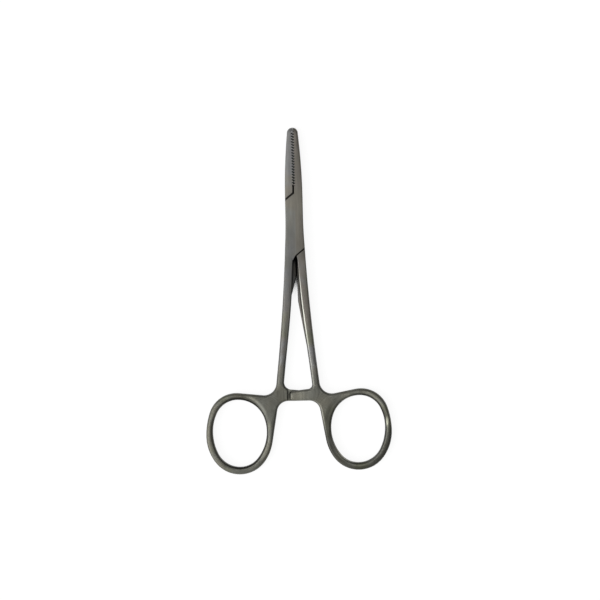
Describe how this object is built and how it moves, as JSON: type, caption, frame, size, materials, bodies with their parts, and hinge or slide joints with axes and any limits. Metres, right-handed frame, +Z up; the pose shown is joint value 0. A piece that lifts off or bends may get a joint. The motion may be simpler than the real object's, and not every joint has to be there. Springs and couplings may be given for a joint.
{
  "type": "hemostatic forceps",
  "caption": "Ring-handled hemostatic forceps with straight cross-serrated jaws, a box lock on a flush rivet, and a saw-tooth ratchet between the finger rings.",
  "frame": {"origin": "on the pivot axis, at the underside of the box lock, on which the forceps lies", "axes": "+X across the forceps, from the left finger ring to the right one; +Y along it, from the rings to the jaw tips; +Z up along the pivot axis"},
  "size_m": [0.0748, 0.1393, 0.005],
  "materials": {
    "satin_steel": "satin ground stainless steel, brushed along each half",
    "rivet_steel": "rivet head ground flush with the box lock and brushed with it"
  },
  "bodies": {
    "female": {"female_half": "satin_steel", "pivot_pin": "rivet_steel"},
    "male": {"male_half": "satin_steel"}
  },
  "joints": [
    {"name": "box_lock_pivot", "type": "hinge", "parent": "female", "child": "male", "pos_m": [0, 0, 0], "axis": [0, 0, 1], "range_deg": [0, 60]}
  ]
}
